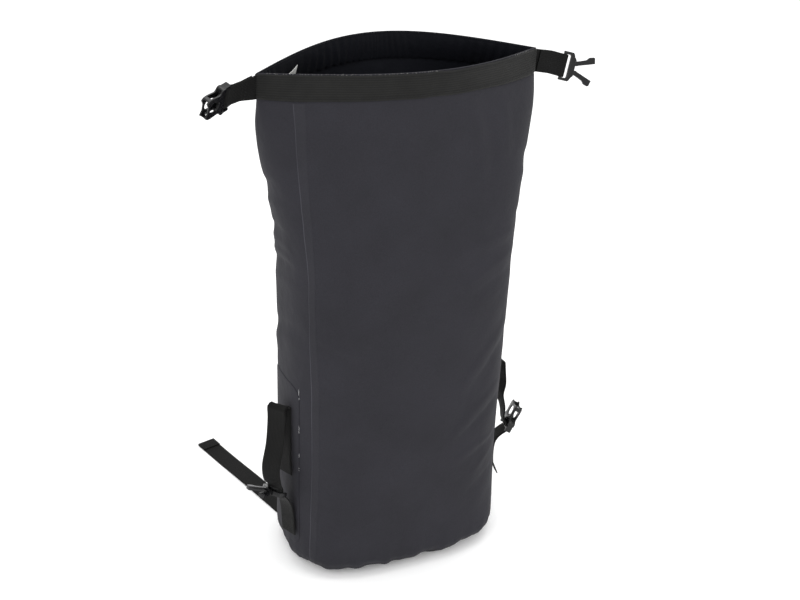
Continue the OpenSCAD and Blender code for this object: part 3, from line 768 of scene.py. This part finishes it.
# Side straps: the CAD's paths, in a frame on the bag's side (outwards, up)
LEFT_BAR, RIGHT_BAR = (16.5, 109), (19.5, 127)
LEFT_SIDE = frame_of(("t", -BODY_W / 2, -25, 45), ("z", 198), ("x", 6.5), ("t", 0, 0, -45))
RIGHT_SIDE = frame_of(("t", BODY_W / 2, -20, 45), ("z", -18), ("x", -7), ("t", 0, 0, -45))
LEFT_PATH = [np.array([(4.4, 49), (4.4, 80), (8, 95)]), arc(LEFT_BAR, LOOP_R, -115, 0, 6),
             np.array([(20.8, 117.5), (26, 128), (26.5, 146), (18.5, 172), (13.6, 200)]),
             arc((7.8, 213), 5, 10, 170, 8), np.array([(2.8, 204), (2.4, 190), (2.4, 128)])]
RIGHT_PATH = [np.array([(9.6, 67), (3.8, 80), (3.6, 104), (8, 116)]), arc(RIGHT_BAR, LOOP_R, -115, 50, 9),
              np.array([(16.4, 132.4), (14.6, 138), (13.6, 154), (9.6, 172), (11.8, 188), (10.6, 205)]),
              arc((6.2, 214), 3.6, 10, 170, 8), np.array([(2.6, 206), (2.4, 180)])]


def side_strap(name, matrix, path, node, twist, shift, free):
    """From its sewn foot round the buckle's bar, up, and over a fold to its inner end.
    Between the two heights in free it takes on a twist and a shift, and loses them after the fold."""
    flat = smooth_path(np.concatenate(path))
    local = np.stack([flat[:, 0], np.zeros(len(flat)), flat[:, 1]], -1)
    fold = int(np.argmax(flat[:, 1]))
    rise = np.clip((flat[:, 1] - free[0]) / (free[1] - free[0]), 0, 1)
    rise = rise * rise * (3 - 2 * rise)
    order = np.arange(len(flat))
    rise = np.where(order > fold, np.clip(1 - (order - fold) / (len(flat) - fold) * 1.3, 0, 1), rise)
    local[:, 1] += shift * rise
    centres = to_world(matrix, local)
    angle = np.radians(twist * rise)
    flat_dir = turned(matrix, (0, 1, 0))
    out_dir = turned(matrix, (1, 0, 0))
    across = np.cos(angle)[:, None] * flat_dir + np.sin(angle)[:, None] * out_dir
    ribbon(name, centres, across, "bag", [node])
    # sewn foot: rows up both edges and three across, on the outer face
    tangent = np.gradient(flat, axis=0)
    tangent /= np.linalg.norm(tangent, axis=1, keepdims=True)
    out = np.stack([tangent[:, 1], np.zeros(len(flat)), -tangent[:, 0]], -1)
    foot = slice(2, 13)
    lines = []
    edge, proud = 10.5, 0.75
    for w in (-edge, edge):
        p = local[foot] + np.array([0, w, 0]) + out[foot] * proud
        lines.append([(to_world(matrix, a), turned(matrix, b)) for a, b in zip(p, out[foot])])
    for row in (2, 5, 12):
        p = [local[row] + np.array([0, w, 0]) + out[row] * proud for w in np.linspace(-edge, edge, 12)]
        lines.append([(to_world(matrix, a), turned(matrix, out[row])) for a in p])
    stitches(name + "_stitches", lines, "bag")


side_strap("left_side_webbing", LEFT_SIDE, LEFT_PATH, "left_side_strap", -17, 6.5, (103, 132))
side_strap("right_side_webbing", RIGHT_SIDE, RIGHT_PATH, "right_side_strap", -13, 0, (140, 165))


# Mouth tabs: from the band's corner, twisting, then a loop round the buckle's bar and back
CORNER_X, CORNER_Z = MOUTH_W / 2 + 4.5, MOUTH_H - WEB_W / 2 - 1


def mouth_tab(name, side, root, steps, length, node, body):
    """One turn of strap: out on one face, round the buckle's bar, and back on the other."""
    matrix = frame_of(("t", side * root, 0, CORNER_Z), *steps)
    layer = 0.78
    there = [(x, layer) for x in np.linspace(-1, length - 8, 12)]
    loop = arc((length, 0), LOOP_R, 118, -118, 14)
    back = [(x, -layer) for x in np.linspace(length - 8, 4, 10)]
    flat = smooth_path(np.concatenate([there, loop, back]), 1.0)
    local = np.stack([flat[:, 0], flat[:, 1], np.zeros(len(flat))], -1)
    centres = to_world(matrix, local)
    along = np.clip(flat[:, 0] / 16, 0, 1)
    along = along * along * (3 - 2 * along)
    start = np.array([side * (MOUTH_W / 2 - 1.5), 0, CORNER_Z])
    tab_dir, width_dir = turned(matrix, (1, 0, 0)), turned(matrix, (0, 0, 1))
    upright = np.array([0.0, 0.0, 1.0])
    width = width_dir[None, :] * along[:, None] + upright[None, :] * (1 - along)[:, None]
    thin = turned(matrix, (0, 1, 0))
    bent = start + np.outer(flat[:, 0] + 1, tab_dir * 0.96) + np.outer(flat[:, 1], thin)
    centres = bent * (1 - along)[:, None] + centres * along[:, None]
    piece = ribbon(name, centres, width, None, [node])
    lines = []
    for x in (11.0, 14.0, length - 9):
        k = int(np.argmin(np.abs(flat[:len(flat) // 2, 0] - x)))
        for face in (1, -1):
            proud = layer if face > 0 else -3 * layer
            p = [centres[k] + width[k] * w + thin * proud for w in np.linspace(-11, 11, 12)]
            lines.append([(q, thin * face) for q in p])
    stitches(name + "_stitches", lines, body)
    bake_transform(piece)


RIGHT_TAB_OUT = 1.5
mouth_tab("left_tab_webbing", -1, CORNER_X, (("z", 200), ("y", 7), ("x", -22)), 33,
          "left_mouth_tab", "left_tab")
mouth_tab("right_tab_webbing", 1, CORNER_X + RIGHT_TAB_OUT, (("z", -1), ("y", 18), ("x", -12)), 31.5,
          "right_mouth_tab", "right_tab")


# ---------------------------------------------------------------- buckles
def apply_modifiers(piece):
    """Writes the modifiers' result into the mesh and takes them off."""
    graph = bpy.context.evaluated_depsgraph_get()
    mesh = bpy.data.meshes.new_from_object(piece.evaluated_get(graph))
    piece.modifiers.clear()
    piece.data = mesh


def moulded_part(node, body, bevel=0.00042):
    """The CAD part's shape with softly rounded moulded edges."""
    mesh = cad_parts[node].data.copy()
    mesh.materials.clear()
    b = bmesh.new()
    b.from_mesh(mesh)
    bmesh.ops.remove_doubles(b, verts=b.verts, dist=1e-6)
    bmesh.ops.dissolve_limit(b, angle_limit=math.radians(1.5), verts=b.verts, edges=b.edges)
    b.to_mesh(mesh)
    b.free()
    mesh.materials.append(PLASTIC)
    piece = bpy.data.objects.new("moulded_" + node, mesh)
    scene.collection.objects.link(piece)
    rounding = piece.modifiers.new("rounding", "BEVEL")
    rounding.width = bevel
    rounding.segments = 3
    rounding.limit_method = "ANGLE"
    rounding.angle_limit = math.radians(28)
    rounding.use_clamp_overlap = True
    apply_modifiers(piece)
    piece.data.polygons.foreach_set("use_smooth", np.ones(len(piece.data.polygons), dtype=bool))
    piece.data.set_sharp_from_angle(angle=math.radians(32))
    place_piece(piece, body, [node])


for node, body in (("mouth_socket", "mouth_socket"), ("mouth_plug", "mouth_plug"),
                   ("mouth_plug_upper_prong", "mouth_upper_prong"),
                   ("mouth_plug_lower_prong", "mouth_lower_prong"),
                   ("side_plug", "side_plug"), ("side_plug_front_prong", "side_front_prong"),
                   ("side_plug_back_prong", "side_back_prong"), ("side_socket", "side_socket"),
                   ("left_ladder_lock", "left_ladder_lock"), ("right_ladder_lock", "right_ladder_lock")):
    moulded_part(node, body)


# ---------------------------------------------------------------- shoulder straps
PAD_Y, PAD_W, PAD_LEN, PAD_T, PAD_TOP = BODY_D / 2 + 6, 58, 330, 11, 500
PAD_LOW = PAD_TOP - PAD_LEN
HINGE_Y, HINGE_Z, LOCK_Z = PAD_Y + PAD_T / 2, PAD_TOP + 6, PAD_TOP - PAD_LEN - 32
WEB_Y = PAD_Y + PAD_T + 0.1


def pad_outline(inset, count=14):
    """The pad's outline, anticlockwise, as (across, height)."""
    r = PAD_W / 2 - 8 - inset
    points = []
    low, high = PAD_LOW + inset + r, PAD_TOP - inset - r
    for sx, z, a in ((1, low, -90), (1, high, 0), (-1, high, 90), (-1, low, 180)):
        points.append(arc((sx * (PAD_W / 2 - inset - r), z), r, a, a + 90, count))
    return np.concatenate(points)


def padding_mesh():
    """One pad, centred on x = 0: remeshed, then puffed up as cloth under pressure."""
    outline = pad_outline(1.6)
    n = len(outline)
    low, high = PAD_Y + 2.6, PAD_Y + PAD_T - 2.6
    points = [(x, low, z) for x, z in outline] + [(x, high, z) for x, z in outline]
    faces = [list(range(n)), list(range(2 * n - 1, n - 1, -1))]
    faces += [[i, i + n, (i + 1) % n + n, (i + 1) % n] for i in range(n)]
    mesh = bpy.data.meshes.new("padding")
    mesh.from_pydata((np.asarray(points) * MM).tolist(), [], faces)
    pad = bpy.data.objects.new("padding", mesh)
    scene.collection.objects.link(pad)
    remesh = pad.modifiers.new("remesh", "REMESH")
    remesh.mode = "VOXEL"
    remesh.voxel_size = 0.0045
    apply_modifiers(pad)
    start = np.empty(len(pad.data.vertices) * 3)
    pad.data.vertices.foreach_get("co", start)
    start = start.reshape(-1, 3)
    cloth = pad.modifiers.new("cloth", "CLOTH")
    cloth.settings.use_pressure = True
    cloth.settings.uniform_pressure_force = 4
    cloth.settings.effector_weights.gravity = 0
    cloth.settings.quality = 6
    for f in range(1, 21):
        scene.frame_set(f)
    apply_modifiers(pad)
    scene.frame_set(1)
    moved = np.empty(len(pad.data.vertices) * 3)
    pad.data.vertices.foreach_get("co", moved)
    step = (moved.reshape(-1, 3) - start) * (0.05, 1, 0.05)  # the binding holds the outline
    size = np.linalg.norm(step, axis=1, keepdims=True)
    moved = start + step * np.minimum(1, 0.004 / np.maximum(size, 1e-9))
    # sewn channels beside the webbing, and pulled-in edges
    x, y, z = moved[:, 0] / MM, moved[:, 1] / MM, moved[:, 2] / MM
    groove = sum(np.exp(-((np.abs(x) - at) / 1.8) ** 2) for at in (15.5, 25.0))
    middle = PAD_Y + PAD_T / 2
    y = middle + (y - middle) * (1 - 0.28 * np.clip(groove, 0, 1))
    y = middle + (y - middle) * (1 - 0.5 * np.exp(-((np.abs(x) - 28.5) / 2.2) ** 2))
    y = np.clip(y, PAD_Y + 0.5, PAD_Y + PAD_T - 0.4)
    moved[:, 1] = y * MM
    x = np.clip(x, -PAD_W / 2 + 0.6, PAD_W / 2 - 0.6)
    moved[:, 0] = x * MM
    moved[:, 2] = np.clip(z, PAD_LOW + 0.6, PAD_TOP - 0.6) * MM
    pad.data.vertices.foreach_set("co", moved.ravel())
    smooth = pad.modifiers.new("smooth", "SUBSURF")
    smooth.levels = smooth.render_levels = 1
    apply_modifiers(pad)
    data = pad.data
    bpy.data.objects.remove(pad)
    return data


PADDING = padding_mesh()


def binding(name, x, body):
    """A rounded binding tape sewn over the pad's edge; it overshoots at the pad's corners."""
    outline = smooth_path(np.concatenate([pad_outline(1.5, 8), pad_outline(1.5, 8)[:1]]), 2.5)[:-1]
    n = len(outline)
    nxt, prv = np.roll(outline, -1, 0), np.roll(outline, 1, 0)
    tangent = (nxt - prv) / np.linalg.norm(nxt - prv, axis=1, keepdims=True)
    out = np.stack([tangent[:, 1], -tangent[:, 0]], -1)
    ring, proud, half = 12, 1.3, 3.3
    a = np.arange(ring) * 2 * np.pi / ring
    middle = PAD_Y + PAD_T / 2
    points = np.empty((n, ring, 3))
    points[..., 0] = x + outline[:, None, 0] + out[:, None, 0] * proud * np.cos(a)
    points[..., 1] = middle + half * np.sin(a) * np.ones((n, 1))
    points[..., 2] = outline[:, None, 1] + out[:, None, 1] * proud * np.cos(a)
    j, i = np.meshgrid(np.arange(n), np.arange(ring), indexing="ij")
    j1, i1 = (j + 1) % n, (i + 1) % ring
    faces = np.stack([j * ring + i, j1 * ring + i, j1 * ring + i1, j * ring + i1], -1).reshape(-1, 4)
    length = np.arange(n) * 2.5
    weave = np.stack([np.broadcast_to(a * 2.2, (n, ring)), np.broadcast_to(length[:, None], (n, ring)),
                      np.full((n, ring), 9.0)], -1).reshape(-1, 3)
    add_piece(name, points.reshape(-1, 3), faces, STRAP, body, (), weave)


def shoulder_strap(word, x):
    """Pad, binding, webbing with its loop for the ladder lock, stitches and the sewn upper end."""
    body = word + "_shoulder_strap"
    mesh = PADDING.copy()
    mesh.transform(Matrix.Translation((x * MM, 0, 0)))
    mesh.materials.clear()
    mesh.materials.append(MESH)
    mesh.polygons.foreach_set("use_smooth", np.ones(len(mesh.polygons), dtype=bool))
    pad = bpy.data.objects.new(word + "_shoulder_padding", mesh)
    scene.collection.objects.link(pad)
    place_piece(pad, body, [word + "_shoulder_pad"])
    binding(word + "_pad_binding", x, body)
    middle = WEB_Y + WEB_T / 2
    down = np.array([(middle, HINGE_Z - 16), (middle, PAD_LOW + 20), (middle, LOCK_Z + 14)])
    loop = arc((WEB_Y, LOCK_Z), LOOP_R, 75, -200, 16)
    back = np.array([(WEB_Y - 0.9, LOCK_Z + 12), (WEB_Y - 0.9, LOCK_Z + 26)])
    flat = smooth_path(np.concatenate([down, loop, back]))
    centres = np.stack([np.full(len(flat), x), flat[:, 0], flat[:, 1]], -1)
    ribbon(word + "_strap_webbing", centres, (1, 0, 0), body, [word + "_shoulder_webbing"])
    lines = []
    top, backwards = middle + 0.72, np.array([0.0, 1, 0])
    for shift in (-10.8, 10.8):
        rows = np.linspace(HINGE_Z - 20, PAD_LOW + 6, 60)
        lines.append([(np.array([x + shift, top, z]), backwards) for z in rows])
    for z in (PAD_LOW + 8, PAD_LOW + 30, PAD_TOP - 40, PAD_TOP - 18):
        lines.append([(np.array([x + w, top, z]), backwards) for w in np.linspace(-10.5, 10.5, 8)])
    stitches(word + "_strap_stitches", lines, body)
    # the sewn upper end
    path = smooth_path([(77.4, HINGE_Z + 32), (77.2, HINGE_Z + 15), (82, HINGE_Z + 7), (91, HINGE_Z + 2.2),
                        (HINGE_Y, HINGE_Z), (HINGE_Y + 5, HINGE_Z - 3.4), (middle, HINGE_Z - 9),
                        (middle, HINGE_Z - 17)], 1.2)
    centres = np.stack([np.full(len(path), x), path[:, 0], path[:, 1]], -1)
    anchor = ribbon(word + "_anchor_webbing", centres, (1, 0, 0), None, [word + "_shoulder_anchor"],
                    thick=1.6)
    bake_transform(anchor)


shoulder_strap("left", -62)
shoulder_strap("right", 62)


def anchor_patch():
    """The welded patch that both straps hang from, with rounded corners."""
    low, high, half, corner = 491, 544, 83, 14
    heights = np.linspace(low, high, int(40 * FINE))
    cols = 61
    t = np.linspace(-1, 1, cols)[None, :]
    z = heights[:, None] * np.ones((1, cols))
    across = t * (half - corner_inset(heights, corner))[:, None]
    loft("anchor_patch", z, turn_at(GIRTH / 2 + across), 0.04, 0.66, PATCH,
         ["shoulder_anchor_patch"])


anchor_patch()


# ---------------------------------------------------------------- lower webbing on the floor
TAIL_LEN, HEM_LEN, TAIL_HEADING = 195, 18, 15.2


def lower_webbing(word, side):
    """Sewn into the base's corner, down to the floor, then lying along it to its hemmed end."""
    matrix = frame_of(("t", side * 101.6, 76, 0), ("z", -side * TAIL_HEADING))
    fall = [(-4.6, 29), (-4.5, 22), (-4.3, 12), (-3.4, 5.4), (-0.6, 1.7), (3, 0.78)]
    lie = []
    for y in np.linspace(10, TAIL_LEN - 1, 26):
        lie.append((y, 0.78 + 0.5 * (1 - math.cos(y / 23)) * (1 if y < 150 else 0.6)))
    path = smooth_path(np.concatenate([fall, lie]), 1.5)
    path[:, 1] = np.maximum(path[:, 1], 0.75)
    local = np.stack([np.zeros(len(path)), path[:, 0], path[:, 1]], -1)
    body = word + "_tail"
    across = turned(matrix, (1, 0, 0))
    piece = ribbon(word + "_lower_webbing", to_world(matrix, local), across, None,
                   [word + "_tail_webbing", word + "_tail_anchor"])
    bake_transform(piece)
    keep = path[:, 0] > TAIL_LEN - HEM_LEN
    top = local[keep] + np.array([0, 0, 1.45])
    ribbon(word + "_tail_hem", to_world(matrix, top), across, body)
    lines = []
    for y in (TAIL_LEN - HEM_LEN + 2.5, TAIL_LEN - HEM_LEN + 5, TAIL_LEN - 4):
        z = float(np.interp(y, path[:, 0], path[:, 1])) + 2.2
        row = [to_world(matrix, [(w, y, z)])[0] for w in np.linspace(-11, 11, 10)]
        lines.append([(q, np.array([0, 0, 1.0])) for q in row])
    stitches(word + "_tail_stitches", lines, body)


lower_webbing("left", -1)
lower_webbing("right", 1)


# ---------------------------------------------------------------- small things
def band_stitching():
    """Rows of stitching along the rim bands; the pale thread of the upper row frays in places."""
    rng = np.random.default_rng(12)
    for name, a0, a1 in (("front", 183, 357), ("back", 3, 177)):
        lines = []
        for below in (3.2, WEB_W - 3.4):
            turns = np.linspace(a0, a1, 260)
            z = np.full(len(turns), MOUTH_H - 1 - below)
            p = surface(z, turns, 0.1 + WEB_T + 0.12)
            q = surface(z, turns, 0.1 + WEB_T + 1.2)
            lines.append([(a, b - a) for a, b in zip(p, q)])
        stitches(name + "_band_stitches", lines, "bag", length=2.2, gap=1.3, radius=0.2)
    frays = []
    for turn0 in np.concatenate([np.linspace(190, 272, 74), np.linspace(318, 346, 16)]):
        turn0 += rng.uniform(-0.5, 0.5)
        a = surface([MOUTH_H - 0.5], [turn0], rng.uniform(0.2, 1.4))[0]
        b = surface([MOUTH_H + 0.2], [turn0 + rng.uniform(0.4, 1.1)], rng.uniform(0.2, 1.4))[0]
        b = b + (0, 0, rng.uniform(0, 0.9))
        frays.append([(end, np.array([0, 0, 1.0])) for end in (a + (0, 0, 0.1), b)])
    stitches("frayed_thread", frays, "bag", PALE_THREAD, length=1.1, gap=0.5, radius=0.24)


band_stitching()


def glue_specks():
    """Flecks of pale weld glue squeezed out beside the left patch."""
    rng = np.random.default_rng(4)
    points, faces = [], []
    s0 = -GIRTH / 4 + 37.3
    rings, sides = 7, 8
    for z0, high in ((243, 9), (235, 3), (196, 7), (191, 4), (160, 7), (142, 2.0), (139, 1.4)):
        first = len(points)
        for j in range(rings):
            v = j / (rings - 1)
            half = 0.4 * math.sin(math.pi * min(max(v, 0.06), 0.94)) * rng.uniform(0.6, 1.2)
            centre = s0 + rng.uniform(-0.35, 0.35)
            for i in range(sides):
                a = 2 * math.pi * i / sides
                points.append(surface([z0 + high * (v - 0.5)], [float(turn_at(centre + half * math.cos(a)))],
                                      0.75 + 0.6 * half * math.sin(a))[0])
        faces += ring_faces(rings, sides, first)
        faces.append([first + i for i in reversed(range(sides))])
        faces.append([first + (rings - 1) * sides + i for i in range(sides)])
    weave = np.zeros((len(points), 3))
    add_piece("glue_specks", points, faces, GLUE, "bag", (), weave)


glue_specks()
care_label()


# ---------------------------------------------------------------- floor and light
def studio():
    """A pale floor, an even white world and three soft lamps."""
    mesh = bpy.data.meshes.new("floor")
    wide = 6
    corners = [(-wide, -wide, 0), (wide, -wide, 0), (wide, wide, 0), (-wide, wide, 0)]
    mesh.from_pydata(corners, [], [[0, 1, 2, 3]])
    floor = bpy.data.objects.new("floor", mesh)
    floor.location.z = -0.0002
    scene.collection.objects.link(floor)
    n = Nodes("pale_floor")
    mesh.materials.append(n.finish((0.95, 0.95, 0.95, 1), 0.9, None, Specular_IOR_Level=0.0,
                                    Emission_Color=(1, 1, 1, 1), Emission_Strength=0.1))
    world = bpy.data.worlds.new("studio")
    world.use_nodes = True
    world.node_tree.nodes["Background"].inputs[0].default_value = (1, 1, 1, 1)
    world.node_tree.nodes["Background"].inputs[1].default_value = 1.0
    scene.world = world
    for name, place, size, power in (("key", (-1.6, -1.5, 2.4), 1.8, 24), ("fill", (2.0, -1.6, 1.4), 1.6, 10),
                                     ("top", (0.1, 0.2, 2.6), 1.8, 24)):
        data = bpy.data.lights.new(name, "AREA")
        data.size = size
        data.energy = power
        lamp = bpy.data.objects.new(name, data)
        lamp.location = place
        lamp.rotation_euler = (Vector((0, 0, 0.3)) - Vector(place)).to_track_quat("-Z", "Y").to_euler()
        scene.collection.objects.link(lamp)
    scene.view_settings.view_transform = "Standard"
    scene.view_settings.look = "None"


studio()
